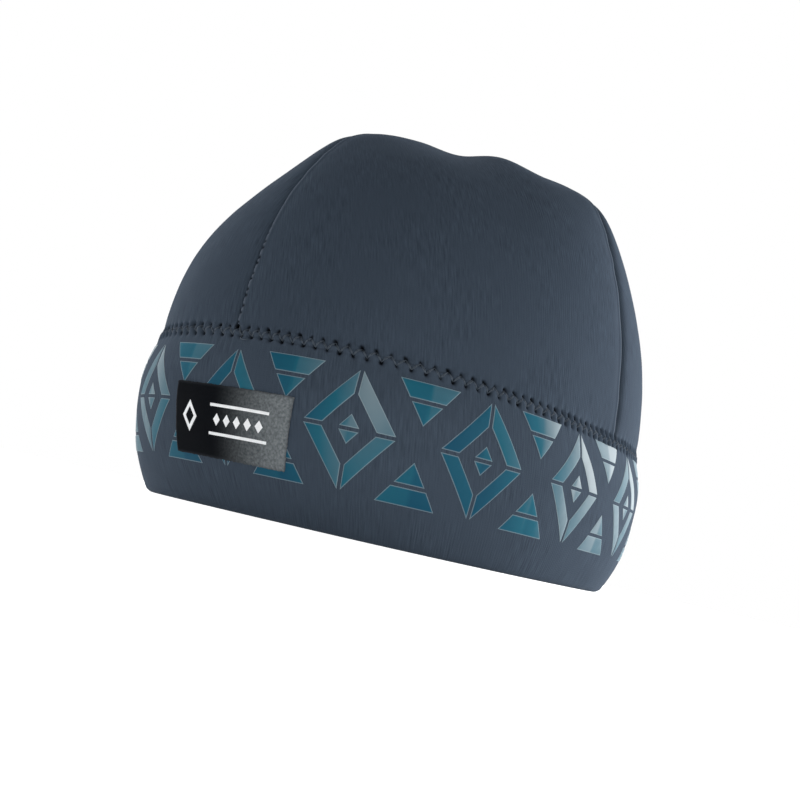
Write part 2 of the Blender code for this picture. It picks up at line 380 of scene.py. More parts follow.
# Crown seams: a narrow groove, blind-stitched where it meets the band
crownSeam = {
    "reach": (9 * mm, 14 * mm),  # how far aside a seam shapes its panels
    "overBand": (1.5 * mm, 4 * mm),  # how far over the band's seam it starts
    "press": 0.20 * mm,  # how far a panel's soft edge is pressed past the seam's line
    "pressReach": 4 * mm,
    "pressStep": 2 * mm,
    "edgeDepth": 0.6 * mm,  # a panel's edge lies this near to its outer face, and to the line
    "edgeAside": 1.5 * mm,
    "cutFace": (0.2 * mm, 0.6 * mm),  # how far behind the edge it is pressed flat, and no longer
    "dotPitch": 2.8 * mm,
    "dotDepth": 0.46 * mm,
    "dotSize": 0.46 * mm,
    "dotSizeRange": 0.30,
    "dotShift": 0.16,  # as a share of their pitch
    "dotAside": 0.55 * mm,
    "dotLength": 40 * mm,
    "dotFade": 0.7,  # from this share of that length on
    "waviness": 0.10 * mm,
    "waveReach": 4 * mm,
    "waveLengths": (2.3 * mm, 11 * mm),
    "edge": 0.36 * mm,  # the rolled edge of the panel on top, and the groove along it
    "edgePlace": 0.6,  # how far aside it is highest, as a share of its width
    "edgeWidth": 0.95 * mm,
    "edgeGroove": 0.40 * mm,
    "edgeGrooveWidth": 0.35 * mm,
    "grooveDepth": 0.75 * mm,
    "grooveWidth": 0.60 * mm,
    "highlightAside": 0.75 * mm,  # where a painted highlight lies on that rolled edge, as if it caught the light
    "highlightWidth": 0.42 * mm,
    "softShade": 0.85,
    "lineCore": 0.3,  # the share of the painted shadow line's width that is black all over
    "under": {  # the panel that dips under the other one at each seam
        "front": "front_right_panel",
        "left": "back_left_panel",
        "back": "back_right_panel",
        "right": "back_right_panel",
    },
    "middle": {  # the front and back seams: they sink into a valley near the top
        "dip": 0.40 * mm,
        "dipWidth": 1.9 * mm,
        "line": 1.2 * mm,  # how far its painted black shadow line and its painted soft shade reach
        "shade": 5.0 * mm,
        "shadeBelow": 0.0,
        "topFrom": (0.50, 0.95),  # where it widens, as shares of its length, and by how much
        "topGain": 1.4,
        "valley": 1.1 * mm,
        "valleyWidth": 7 * mm,
        "dots": 1.0,
    },
    "side": {
        "dip": 0.80 * mm,
        "dipWidth": 3.0 * mm,
        "line": 2.3 * mm,
        "shade": 5.5 * mm,
        "shadeBelow": 0.9,
        "topFrom": (0.22, 0.55),
        "topGain": 0.25,
        "valley": 0.0,
        "valleyWidth": 7 * mm,
        "dots": 0.0,
    },
}


def crownSeamField(along, gap, seamName, panelName):
    form = crownSeam["side" if seamName in ("left", "right") else "middle"]
    onTop = smoothStep(along / runAlong(crownSeams[seamName])[-1], *form["topFrom"])
    gain = 1 + form["topGain"] * onTop
    isUnder = panelName == crownSeam["under"][seamName]
    if isUnder:
        height = -crownSeam["grooveDepth"] * bell(gap, crownSeam["grooveWidth"])
        height -= form["dip"] * gain * bell(gap, form["dipWidth"] * gain)
        # painted shade on the panel underneath: a black shadow line in the seam and a soft shade beyond it
        soft = crownSeam["softShade"] * (1 - smoothStep(gap, 0, form["shade"]))
        line = 1 - smoothStep(gap, crownSeam["lineCore"] * form["line"] * gain, form["line"] * gain)
        shade = np.maximum(line, soft * np.maximum(onTop, form["shadeBelow"]))
        edgeHighlight = 0 * gap
    else:
        aside = crownSeam["edgePlace"] * crownSeam["edgeWidth"]
        height = crownSeam["edge"] * bell(gap - aside, crownSeam["edgeWidth"])
        height -= crownSeam["edgeGroove"] * bell(gap, crownSeam["edgeGrooveWidth"])
        # painted shade in the groove along the upper panel's edge
        shade = bell(gap, crownSeam["edgeGrooveWidth"])
        # painted highlight on the rolled edge of the upper panel
        edgeHighlight = bell(gap - crownSeam["highlightAside"], crownSeam["highlightWidth"])
    place = along / crownSeam["dotPitch"] + (0.5 if isUnder else 0.0)
    number = np.floor(place + 0.5)
    shift = crownSeam["dotShift"] * np.sin(2.9 * number)
    beside = ((place + 0.5) % 1 - 0.5 + shift) * crownSeam["dotPitch"]
    size = crownSeam["dotSize"] * (1 + crownSeam["dotSizeRange"] * np.sin(5.1 * number))
    # the dimples of the blind stitches, also painted dark as the shade in them
    dots = form["dots"] * np.exp(-(beside**2 + (gap - crownSeam["dotAside"]) ** 2) / size**2)
    dots *= 1 - smoothStep(along, crownSeam["dotFade"] * crownSeam["dotLength"], crownSeam["dotLength"])
    height -= crownSeam["dotDepth"] * dots + form["valley"] * onTop * bell(gap, form["valleyWidth"])
    short, long = crownSeam["waveLengths"]
    waves = np.sin(along / short + 2 * np.sin(along / long))
    height += crownSeam["waviness"] * waves * bell(gap, crownSeam["waveReach"])
    return height, dots, shade, edgeHighlight * (1 - dots)


# Soft unevenness of stretched neoprene over foam
softForm = {"large": 0.45 * mm, "largeSize": 34 * mm, "small": 0.10 * mm, "smallSize": 9 * mm}


def softField(points):
    large = [noise.noise(Vector(p) / softForm["largeSize"]) for p in points]
    small = [noise.noise(Vector(p) / softForm["smallSize"] + Vector((7, 3, 5))) for p in points]
    return softForm["large"] * np.array(large) + softForm["small"] * np.array(small)


# Fabric pieces from the frame's solids
fabric = {
    "merge": 0.02 * mm,
    "quadFace": math.radians(60),  # the turns within which two triangles become a quad
    "quadShape": math.radians(80),
    "sharp": math.radians(42),  # edges sharper than this stay so
    "crease": 0.9,
    "domeFoot": 20 * mm,  # where the ribs of a domed panel start to be counted upwards
}


def copyNode(nodeName, pieceName, levels):
    piece = bpy.data.objects.new(pieceName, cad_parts[nodeName].data.copy())
    bpy.context.scene.collection.objects.link(piece)
    piece.data.materials.clear()
    editAll(piece)
    bpy.ops.mesh.remove_doubles(threshold=fabric["merge"])
    bpy.ops.mesh.customdata_custom_splitnormals_clear()
    bpy.ops.mesh.tris_convert_to_quads(
        face_threshold=fabric["quadFace"], shape_threshold=fabric["quadShape"])
    bpy.ops.mesh.select_mode(type="EDGE")
    bpy.ops.mesh.select_all(action="DESELECT")
    bpy.ops.mesh.edges_select_sharp(sharpness=fabric["sharp"])
    bpy.ops.transform.edge_crease(value=fabric["crease"])
    leaveEdit()
    applyModifier(piece, "SUBSURF", levels=levels, render_levels=levels)
    bpy.ops.object.shade_smooth()
    return piece


def nearBandSeam(points):
    turns = azimuthOf(points)
    return np.hypot(points[:, 2] - readTop(turns, "height"), reachOf(points) - readTop(turns, "reach"))


def refine(piece, nearness, reach):  # halves the outer faces near a seam
    centres, normals = faceData(piece.data)
    editFaces(piece, isOuter(centres, normals) & (nearness(centres) < reach))
    bpy.ops.mesh.subdivide(number_cuts=1, smoothness=0)
    leaveEdit()


def skinOf(piece):  # for each vertex: how deep it lies under the outer face, and which way is out
    tree = faceTree([piece])
    depths, outward = [], []
    for point in getPoints(piece.data):
        _, normal, _, gap = tree.find_nearest(Vector(point))
        depths.append(gap)
        outward.append(normal)
    return np.array(depths), np.array(outward)


def clothMap(piece, middleTurn=None):  # UV in centimetres: round the head and upwards
    mesh = piece.data
    points = getPoints(mesh)
    corners = np.zeros(len(mesh.loops), np.int32)
    mesh.loops.foreach_get("vertex_index", corners)
    turns = (azimuthOf(points) - (middleTurn or 0) + 180) % 360 - 180
    turn = turns[corners]
    starts = np.repeat(turn[[f.loop_start for f in mesh.polygons]], [f.loop_total for f in mesh.polygons])
    turn = starts + (turn - starts + 180) % 360 - 180
    reach, height = reachOf(points)[corners], points[corners, 2]
    if middleTurn is None:  # even ribs all round a band
        turnsRound = np.floor((turn - bandTop["turn"][0]) / 360)
        around, up = readTop(turn, "along") + bandTop["length"] * turnsRound, height
    else:  # ribs beside the middle of a domed panel
        rise = height - fabric["domeFoot"]
        around, up = np.radians(turn) * reach, np.arctan2(rise, reach) * np.hypot(rise, reach)
    layer = mesh.uv_layers.new(name="Cloth")
    layer.data.foreach_set("uv", (np.column_stack((around, up)) / cm).astype(np.float32).ravel())


def outOfSeam(line):  # the way out of the hat at each point of a seam, a mean of the faces on both sides
    centres, normals = [], []
    for facts in panels.values():
        middles, directions = faceData(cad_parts[facts["node"]].data)
        outer = isOuter(middles, directions)
        centres.append(middles[outer])
        normals.append(directions[outer])
    centres, normals = np.vstack(centres), np.vstack(normals)
    weights = [bell(np.linalg.norm(centres - point, axis=1), crownSeam["pressReach"]) for point in line]
    return np.array(weights) @ normals


def pressToSeam(line, along, toSeam, depths):  # moves that bring a panel's edge up to the seam's line
    across = np.cross(outOfSeam(line), np.gradient(line, axis=0))
    inward = np.column_stack([np.interp(along, runAlong(line), across[:, axis]) for axis in range(3)])
    inward /= np.linalg.norm(inward, axis=1)[:, None]
    inside = -(toSeam * inward).sum(axis=1)
    if np.median(inside) < 0:
        inward, inside = -inward, -inside
    place = along / crownSeam["pressStep"]
    atEdge = (depths < crownSeam["edgeDepth"]) & (np.abs(inside) < crownSeam["edgeAside"])
    numbers = np.unique(np.round(place[atEdge]))
    edges = [inside[atEdge & (np.abs(place - number) <= 0.5)].min() for number in numbers]
    edge = np.interp(place, numbers, edges)
    wall = 1 - smoothStep(inside - edge, *crownSeam["cutFace"])
    slide = wall * inside + (1 - wall) * edge + crownSeam["press"]
    fade = 1 - smoothStep(inside - edge, 0, crownSeam["pressReach"])
    return -inward * (slide * fade)[:, None]


panels = {
    "front_left_panel": {"node": "crown_front_left", "seams": ("front", "left"), "middleTurn": 44},
    "back_left_panel": {"node": "crown_back_left", "seams": ("left", "back"), "middleTurn": 138},
    "back_right_panel": {"node": "crown_back_right", "seams": ("back", "right"), "middleTurn": -138},
    "front_right_panel": {"node": "crown_front_right", "seams": ("right", "front"), "middleTurn": -50},
}
panelForm = {
    "levels": 2,
    "wall": 2.2 * mm,
    "refineSeams": (8 * mm, 6 * mm),  # how near a seam its faces are halved, once for each value
    "refineBand": 5 * mm,
}


def buildPanel(name, facts):
    piece = copyNode(facts["node"], name, panelForm["levels"])
    lines = [crownSeams[seam] for seam in facts["seams"]]

    def nearAnySeam(centres):
        return np.minimum.reduce([nearBandSeam(centres)] + [nearLine(centres, line)[1] for line in lines])

    for reach in panelForm["refineSeams"]:
        refine(piece, nearAnySeam, reach)
    refine(piece, nearBandSeam, panelForm["refineBand"])

    points = getPoints(piece.data)
    depths, outward = skinOf(piece)
    turns = azimuthOf(points)
    fade = 1 - smoothStep(depths, 0, panelForm["wall"])
    above = nearBandSeam(points)
    height, holes = stitchField(turns, above)
    height *= 1 - smoothStep(above, *flatlock["fade"])
    beyondStitches = smoothStep(above, *crownSeam["overBand"])
    # painted shade where crown and band meet, and in the crown seams' grooves below
    grooveShade = flatlock["shade"] * bell(above, flatlock["shadeWidth"])
    # painted highlight on the rolled panel edges
    edges = 0 * above
    soft = softField(points)
    moved = points.copy()
    for seamName, line in zip(facts["seams"], lines):
        along, gap, spot = nearLine(points, line)
        aside = spot - points
        aside -= outward * (aside * outward).sum(axis=1)[:, None]
        sideways = np.linalg.norm(aside, axis=1)
        field, dots, shade, edgeHighlight = crownSeamField(along, sideways, seamName, name)
        near = 1 - smoothStep(gap, *crownSeam["reach"])
        height += field * near * beyondStitches
        grooveShade = np.maximum(grooveShade, shade * near)
        holes = np.maximum(holes, dots * near)
        edges = np.maximum(edges, edgeHighlight * near * beyondStitches)
        moved += pressToSeam(line, along, spot - points, depths) * near[:, None]
    moved += outward * ((height + soft) * fade)[:, None]
    moved[:, 2] -= drawTogether(points[:, 2] - readTop(turns, "height"))
    setPoints(piece.data, moved)
    # painted shade in the needle holes and stitch dimples
    paint(piece.data, "hole", holes * fade)
    # painted shade in the grooves, and a painted highlight on the rolled edges
    paint(piece.data, "groove", grooveShade)
    paint(piece.data, "edge", edges * fade)
    clothMap(piece, facts["middleTurn"])
    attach(piece, "root")
    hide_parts(facts["node"])
    return piece


crown = {name: buildPanel(name, facts) for name, facts in panels.items()}
print("crown panels:", {name: len(piece.data.polygons) for name, piece in crown.items()})

band = {
    "levels": 2,
    "refine": (7 * mm, 5.5 * mm),
    "wall": 4.4 * mm,
    "sewnWall": 2.3 * mm,  # at the seam, where the two layers are pressed together
    "taper": 8 * mm,
    "fadeDepth": 0.7,  # as a share of the wall
    "evenRim": 6 * mm,  # below this the soft unevenness dies away
}


def buildBand():
    piece = copyNode("band", "folded_band", band["levels"])
    for reach in band["refine"]:
        refine(piece, nearBandSeam, reach)
    points = getPoints(piece.data)
    depths, outward = skinOf(piece)
    turns = azimuthOf(points)
    under = readTop(turns, "height") - points[:, 2]
    fade = 1 - smoothStep(depths, 0, band["fadeDepth"] * band["wall"])
    height, holes = stitchField(turns, -under)
    height *= 1 - smoothStep(under, *flatlock["fade"])
    soft = softField(points) * smoothStep(points[:, 2], 0, band["evenRim"])
    thinner = (1 - band["sewnWall"] / band["wall"]) * (1 - smoothStep(under, 0, band["taper"]))
    moved = points + outward * ((height + soft) * fade + depths * thinner)[:, None]
    moved[:, 2] += drawTogether(under)
    setPoints(piece.data, moved)
    # painted shade in the needle holes
    paint(piece.data, "hole", holes * fade)
    # painted shade where band and crown meet
    paint(piece.data, "groove", flatlock["shade"] * bell(under, flatlock["shadeWidth"]))
    # no painted highlight on the band
    paint(piece.data, "edge", 0 * under)
    clothMap(piece)
    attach(piece, "root")
    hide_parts("band")
    return piece


foldedBand = buildBand()
print("band:", len(foldedBand.data.polygons))

# Outer skin that threads, print and label lie on
bandSkin = faceTree([foldedBand])
hatSkin = faceTree([foldedBand, *crown.values()])
innerFace = faceTree([foldedBand, *crown.values()], outer=False)


def fromAxis(azimuth, height, reach):
    return Vector((hat["middleX"], hat["middleY"], height)) + heading(azimuth) * reach


def onSkin(tree, azimuth, height, proud):  # a point of the outer face, seen level from outside
    out = heading(azimuth)
    spot, normal, _, _ = tree.ray_cast(fromAxis(azimuth, height, hat["farOut"]), -out)
    if normal.dot(out) < 0:
        normal = -normal
    return spot + normal * proud, normal


def onInnerFace(azimuth, height, proud):  # its point nearest to a place a little inside the wall
    reach = float(readTop(azimuth, "reach")) - 3 * panelForm["wall"]
    spot, _, _, _ = innerFace.find_nearest(fromAxis(azimuth, height, reach))
    return spot - heading(azimuth) * proud


# Thread of the flatlock seam: it climbs and falls between the two rows of holes
thread = {
    "radius": 0.15 * mm,
    "legSteps": 6,
    "bows": (-0.045, 0.055),  # two strands part a little between the holes
    "bowRange": 0.5,
    "climb": 0.92,  # as a share of the way between the rows of holes
    "proud": 0.05 * mm,
    "sunk": 0.02 * mm,
    "sunkFrom": 0.9,  # near a hole, as a share of the half width
    "tailPoints": 30,
    "tail": (  # a loose end beside the front seam: azimuth, height over the seam and how proud, in mm
        (1.0, 1.6, 0.1), (1.2, 0.9, 0.3), (1.5, -0.2, 0.4), (1.8, -1.4, 0.4), (2.1, -2.2, 0.3),
        (2.6, -2.6, 0.2), (3.2, -2.6, 0.2), (3.8, -2.4, 0.2),
    ),
}


def tubeThrough(name, runs, radius, sides):
    data = bpy.data.curves.new(name, "CURVE")
    data.dimensions = "3D"
    data.bevel_depth = radius
    data.bevel_resolution = sides
    data.use_fill_caps = True
    for points, closed in runs:
        spline = data.splines.new("POLY")
        spline.points.add(len(points) - 1)
        for place, point in zip(spline.points, points):
            place.co = (*point, 1.0)
        spline.use_cyclic_u = closed
    piece = bpy.data.objects.new(name, data)
    bpy.context.scene.collection.objects.link(piece)
    pick(piece)
    bpy.ops.object.convert(target="MESH")
    bpy.ops.object.shade_smooth()
    return piece


def flatlockPath(inside, bow=0.0):  # bow: how far a strand strays from the straight leg, in stitches
    path = []
    steps = thread["legSteps"]
    for i in range(stitches * 2 * steps):
        count = i / (2 * steps) + 0.25
        above = float(zigzag(count))
        nearHole = abs(above) / flatlock["halfWidth"]
        bowed = bow * (1 + thread["bowRange"] * math.sin(2.7 * math.floor(2 * count)))
        azimuth = turnAtStitch(count + bowed * (1 - nearHole**2))
        proud = thread["proud"] if nearHole < thread["sunkFrom"] else thread["sunk"]
        height = float(readTop(azimuth, "height")) + above * thread["climb"]
        if inside:
            path.append(onInnerFace(azimuth, height, proud))
        else:
            path.append(onSkin(hatSkin, azimuth, height, proud)[0])
    return path


def tailPath():
    path = []
    for azimuth, above, proud in curveThrough(np.array(thread["tail"]), thread["tailPoints"]):
        height = float(readTop(azimuth, "height")) + above * mm
        path.append(onSkin(hatSkin, azimuth, height, proud * mm)[0])
    return path


strands = [(flatlockPath(False, bow), True) for bow in thread["bows"]]
seamThreads = [
    tubeThrough("flatlock_thread", strands + [(tailPath(), False)], thread["radius"], 1),
    tubeThrough("flatlock_thread_inside", [(flatlockPath(True), True)], thread["radius"], 1),
]
for piece in seamThreads:
    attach(piece, "root")
print("flatlock threads:", [len(piece.data.polygons) for piece in seamThreads])

# Label: a flat woven patch with heat-cut edges that fray a little
label = {
    "levels": 3,
    "thickness": 0.55 * mm,
    "lift": 0.02 * mm,
    "reach": 97 * mm,  # from the middle of the head
    "fray": 0.20 * mm,
    "fraySizes": (0.9 * mm, 0.4 * mm),
    "frayFine": 0.6,  # strength of the finer one
    "frayWidth": 0.30 * mm,
    "frayTint": 0.5 * mm,
    "edgeThinner": 0.35,
    "wave": 0.10 * mm,
    "waveSize": 7 * mm,
}


def buildLabel():
    piece = copyNode("label", "woven_label", label["levels"])
    points = getPoints(piece.data)
    depths, _ = skinOf(piece)
    low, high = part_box("label")
    turns = azimuthOf(points)
    sideEdge = np.minimum(turns - turns.min(), turns.max() - turns) * math.radians(1) * label["reach"]
    nearEdge = np.minimum(np.minimum(points[:, 2] - low.z, high.z - points[:, 2]), sideEdge)
    ragged = bell(nearEdge, label["frayWidth"])
    toFront = 1 - np.clip(depths / depths.max(), 0, 1)
    coarse, fine = label["fraySizes"]
    laid = []
    for point, turn, frayed, front in zip(points, turns, ragged, toFront):
        place = Vector(point)
        jitter = noise.noise(place / coarse) + label["frayFine"] * noise.noise(place / fine)
        aside = label["fray"] * jitter * frayed
        swell = label["wave"] * noise.noise(place / label["waveSize"])
        turned = turn + math.degrees(aside / label["reach"])
        thickness = label["thickness"] * (1 - label["edgeThinner"] * frayed)
        proud = label["lift"] + (thickness + swell) * front
        laid.append(onSkin(bandSkin, turned, point[2] + aside, proud)[0])
    setPoints(piece.data, laid)
    paint(piece.data, "fray", bell(nearEdge, label["frayTint"]))
    clothMap(piece, 0.0)
    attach(piece, "root")
    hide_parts("label")
    return piece


wovenLabel = buildLabel()
labelSkin = faceTree([wovenLabel])
print("label:", len(wovenLabel.data.polygons))

# Flat shapes in metres, x round the head from the front and y up from the rim, laid on the fabric
flatForm = {
    "arcHeight": 31 * mm,  # where x is measured round the band
    "merge": 0.001 * mm,
    "scoreShift": 0.013 * mm,  # keeps score lines off the corners
    "smooth": math.radians(35),
}


def arcTable():  # distance round the band against azimuth
    turns = np.arange(-180, 181, 1.0)
    along = runAlong([onSkin(bandSkin, turn, flatForm["arcHeight"], 0)[0] for turn in turns])
    return turns, along - np.interp(0.0, turns, along)


arcTurns, arcAlong = arcTable()
bandRound = arcAlong[-1] - arcAlong[0]


def turnAt(arc):
    return float(np.interp((arc - arcAlong[0]) % bandRound + arcAlong[0], arcAlong, arcTurns))


def flatShape(left, right, low, high, cuts, border):  # a rectangle, cut along lines and inset
    bpy.ops.object.select_all(action="DESELECT")
    bpy.ops.mesh.primitive_plane_add(size=1)
    piece = bpy.context.object
    editAll(piece)
    bpy.ops.transform.resize(value=(right - left, high - low, 1))
    bpy.ops.transform.translate(value=((left + right) / 2, (low + high) / 2, 0))
    for spot, facing in cuts:
        bpy.ops.mesh.select_all(action="SELECT")
        bpy.ops.mesh.bisect(
            plane_co=(*spot, 0), plane_no=(*facing, 0), clear_outer=True, threshold=flatForm["merge"])
    bpy.ops.mesh.select_all(action="SELECT")
    bpy.ops.mesh.inset(thickness=border, depth=0)
    leaveEdit()
    rim = np.zeros(len(piece.data.vertices), np.float32)
    counts = np.zeros(len(piece.data.vertices), int)
    for face in piece.data.polygons:
        counts[list(face.vertices)] += 1
    rim[counts < 3] = 1.0
    paint(piece.data, "rim", rim)
    return piece


def mirrorShape(piece, acrossX, acrossY):
    applyModifier(piece, "MIRROR", use_axis=(acrossX, acrossY, False), use_mirror_merge=False)
    editAll(piece)
    bpy.ops.mesh.normals_make_consistent(inside=False)
    leaveEdit()
    if piece.data.polygons[0].normal.z < 0:
        piece.data.flip_normals()
    return piece


def joinPieces(pieces, name):
    pick(pieces[0])
    for other in pieces[1:]:
        other.select_set(True)
    bpy.ops.object.join()
    joined = bpy.context.object
    joined.name = name
    return joined


def scoreShape(piece, steps):  # even cross lines, so that the flat shape can follow a curve
    points = getPoints(piece.data)
    editAll(piece)
    for axis, step in enumerate(steps):
        low, high = points[:, axis].min(), points[:, axis].max()
        for k in range(math.ceil(low / step), math.floor(high / step) + 1):
            spot, facing = [0.0, 0.0, 0.0], [0.0, 0.0, 0.0]
            spot[axis], facing[axis] = k * step + flatForm["scoreShift"], 1.0
            bpy.ops.mesh.select_all(action="SELECT")
            bpy.ops.mesh.bisect(plane_co=spot, plane_no=facing, threshold=flatForm["merge"])
    leaveEdit()


def copyFlat(piece, shiftX, shiftY=0.0):
    copy = piece.copy()
    copy.data = piece.data.copy()
    bpy.context.scene.collection.objects.link(copy)
    copy.data.transform(Matrix.Translation((shiftX, shiftY, 0)))
    return copy


def layFlat(piece, tree, form):
    laid = []
    for point, edge in zip(getPoints(piece.data), readBack(piece.data, "rim")):
        proud = form["proud"] + (form["proudRim"] - form["proud"]) * float(edge)
        laid.append(onSkin(tree, turnAt(point[0]), point[1], proud)[0])
    setPoints(piece.data, laid)
    applyModifier(piece, "SOLIDIFY", thickness=form["thickness"], offset=-1)
    bpy.ops.object.shade_smooth_by_angle(angle=flatForm["smooth"])


# Foil print: open lozenges in four arms with a split heart, and triangles that point into the gaps
foil = {
    "motifs": 14,
    "low": 12.8 * mm,
    "high": 49.6 * mm,
    "lozengeWidth": 29 * mm,
    "arm": 0.40,  # thickness of the arms as a share of the half width
    "heart": 0.24,
    "gap": 1.1 * mm,
    "triangleWidth": 19 * mm,
    "triangleHeight": 13 * mm,
    "triangleSplit": 0.45,
    "border": 0.34 * mm,
    "score": (1.6 * mm, 2.4 * mm),
    "proud": 0.15 * mm,
    "proudRim": 0.06 * mm,
    "thickness": 0.05 * mm,
    "start": 5.0 * mm,  # the middle of one lozenge, from the front
    "deepMiddle": 41 * mm,  # the film is deep teal round here; a painted reflection makes it silver at the sides and in between behind
    "reflectionFrom": (51 * mm, 92 * mm),
    "fadeFrom": (150 * mm, 230 * mm),
    # a painted highlight on the film round here
    "litMiddle": 50 * mm,
    "litWidth": 15 * mm,
    "shade": 0.16,  # the painted shade, and what each of its parts adds
    "byQuarter": 0.09,
    "byMotif": 0.06,
    "sweep": 0.14,
    "sideReflection": 0.62,
    "reflectionFades": 0.5,
    "lit": 0.38,
}


def lozengeCuts(halfWidth, halfHeight, share, signX, signY, keepInside=True):
    spot = (signX * halfWidth * share, 0)
    facing = Vector((signX * halfHeight, signY * halfWidth)).normalized()
    return spot, tuple(facing if keepInside else -facing)


def buildFoil():
    halfWidth = foil["lozengeWidth"] / 2
    halfHeight = (foil["high"] - foil["low"]) / 2
    middle = (foil["high"] + foil["low"]) / 2
    gap = foil["gap"] / 2
    arm = flatShape(gap, halfWidth, gap, halfHeight, [
        lozengeCuts(halfWidth, halfHeight, 1, 1, 1),
        lozengeCuts(halfWidth, halfHeight, 1 - foil["arm"], 1, 1, False),
    ], foil["border"])
    mirrorShape(arm, True, True)
    heart = flatShape(-halfWidth, halfWidth, gap, halfHeight, [
        lozengeCuts(halfWidth, halfHeight, foil["heart"], 1, 1),
        lozengeCuts(halfWidth, halfHeight, foil["heart"], -1, 1),
    ], foil["border"])
    mirrorShape(heart, False, True)
    halfBase, tall = foil["triangleWidth"] / 2, foil["triangleHeight"]
    split = halfHeight - foil["triangleSplit"] * tall
    slants = [
        ((sign * halfBase, halfHeight), tuple(Vector((sign * tall, -halfBase)).normalized()))
        for sign in (1, -1)
    ]
    pitch = bandRound / foil["motifs"]
    triangles = []
    for low, high in ((split + gap, halfHeight), (halfHeight - tall, split - gap)):
        piece = flatShape(-halfBase, halfBase, low, high, slants, foil["border"])
        triangles.append(mirrorShape(piece, False, True))
    for piece in (arm, heart, *triangles):
        paint(piece.data, "aside", getPoints(piece.data)[:, 0] / halfWidth)
    for piece in triangles:
        piece.data.transform(Matrix.Translation((pitch / 2, 0, 0)))
    motif = joinPieces([arm, heart, *triangles], "motif")
    scoreShape(motif, foil["score"])
    copies = [copyFlat(motif, foil["start"] + i * pitch, middle) for i in range(foil["motifs"])]
    bpy.data.objects.remove(motif)
    piece = joinPieces(copies, "band_print")
    points = getPoints(piece.data)
    arcs = (points[:, 0] + bandRound / 2) % bandRound - bandRound / 2
    aside = readBack(piece.data, "aside")
    height = (points[:, 1] - middle) / halfHeight
    shade = foil["shade"] + foil["byQuarter"] * np.sign(aside) * np.sign(height)
    shade += foil["byMotif"] * np.sin(3.1 * np.floor(points[:, 0] / pitch))
    shade += foil["sweep"] * (height + aside)
    # painted reflection: silver at the sides and behind, and a painted highlight round litMiddle
    away = np.abs(arcs - foil["deepMiddle"])
    fading = 1 - foil["reflectionFades"] * smoothStep(away, *foil["fadeFrom"])
    shade += foil["sideReflection"] * smoothStep(away, *foil["reflectionFrom"]) * fading
    shade += foil["lit"] * bell(arcs - foil["litMiddle"], foil["litWidth"])
    paint(piece.data, "shade", np.clip(shade, 0, 1))
    layFlat(piece, bandSkin, foil)
    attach(piece, "root")
    return piece


bandPrint = buildFoil()
print("print:", len(bandPrint.data.polygons))

# Woven mark on the label: an open lozenge, and five small ones between two lines
mark = {
    "lozenge": (3.4 * mm, 4.8 * mm),
    "lozengeArc": -11.0 * mm,
    "ring": 0.42,
    "height": 26.5 * mm,
    "small": (1.45 * mm, 1.9 * mm),
    "smallCount": 5,
    "smallPitch": 4.3 * mm,
    "rowArc": 10.0 * mm,
    "lineLength": 23.5 * mm,
    "lineHalf": 0.45 * mm,
    "lineAside": 4.3 * mm,
    "border": 0.12 * mm,
    "score": (1.5 * mm, 2.0 * mm),
    "proud": 0.07 * mm,
    "proudRim": 0.03 * mm,
    "thickness": 0.02 * mm,
}


def buildMark():
    wide, tall = mark["lozenge"]
    ring = flatShape(0, wide, 0, tall, [
        lozengeCuts(wide, tall, 1, 1, 1), lozengeCuts(wide, tall, 1 - mark["ring"], 1, 1, False),
    ], mark["border"])
    mirrorShape(ring, True, True)
    ring.data.transform(Matrix.Translation((mark["lozengeArc"], mark["height"], 0)))
    wide, tall = mark["small"]
    small = flatShape(-wide, wide, -tall, tall, [
        lozengeCuts(wide, tall, 1, signX, signY) for signX in (1, -1) for signY in (1, -1)
    ], mark["border"])
    first = mark["rowArc"] - mark["smallPitch"] * (mark["smallCount"] - 1) / 2
    places = [first + i * mark["smallPitch"] for i in range(mark["smallCount"])]
    parts = [ring] + [copyFlat(small, place, mark["height"]) for place in places]
    bpy.data.objects.remove(small)
    left, right = (mark["rowArc"] + side * mark["lineLength"] / 2 for side in (-1, 1))
    for side in (1, -1):
        middle = mark["height"] + side * mark["lineAside"]
        low, high = middle - mark["lineHalf"], middle + mark["lineHalf"]
        parts.append(flatShape(left, right, low, high, [], mark["border"]))
    piece = joinPieces(parts, "label_mark")
    scoreShape(piece, mark["score"])
    layFlat(piece, labelSkin, mark)
    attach(piece, "root")
    return piece


labelMark = buildMark()
print("label mark:", len(labelMark.data.polygons))


# Materials

def feed(tree, socket, value):  # a socket takes a number, a colour or what another node gives
    if isinstance(value, (int, float)):
        socket.default_value = value
    elif isinstance(value, tuple):
        socket.default_value = (*value, 1.0)
    else:
        tree.links.new(value, socket)


def addNode(tree, kind, inputs=None, **settings):
    node = tree.nodes.new(kind)
    for name, value in settings.items():
        setattr(node, name, value)
    for socket, value in (inputs or {}).items():
        feed(tree, node.inputs[socket], value)
    return node


def newMaterial(name, constants):  # constants: what is the same all over, set on the shader itself
    material = bpy.data.materials.new(name)
    material.use_nodes = True
    tree = material.node_tree
    shader = tree.nodes["Principled BSDF"]
    for socket, value in constants.items():
        feed(tree, shader.inputs[socket], value)
    return material, tree, shader


def mathNode(tree, operation, first, second=None):
    inputs = {0: first} if second is None else {0: first, 1: second}
    return addNode(tree, "ShaderNodeMath", inputs, operation=operation).outputs[0]


def plus(tree, first, second):
    return mathNode(tree, "ADD", first, second)


def minus(tree, first, second):
    return mathNode(tree, "SUBTRACT", first, second)


def times(tree, first, second):
    return mathNode(tree, "MULTIPLY", first, second)


def wave(tree, place):
    return mathNode(tree, "SINE", times(tree, place, 2 * math.pi))


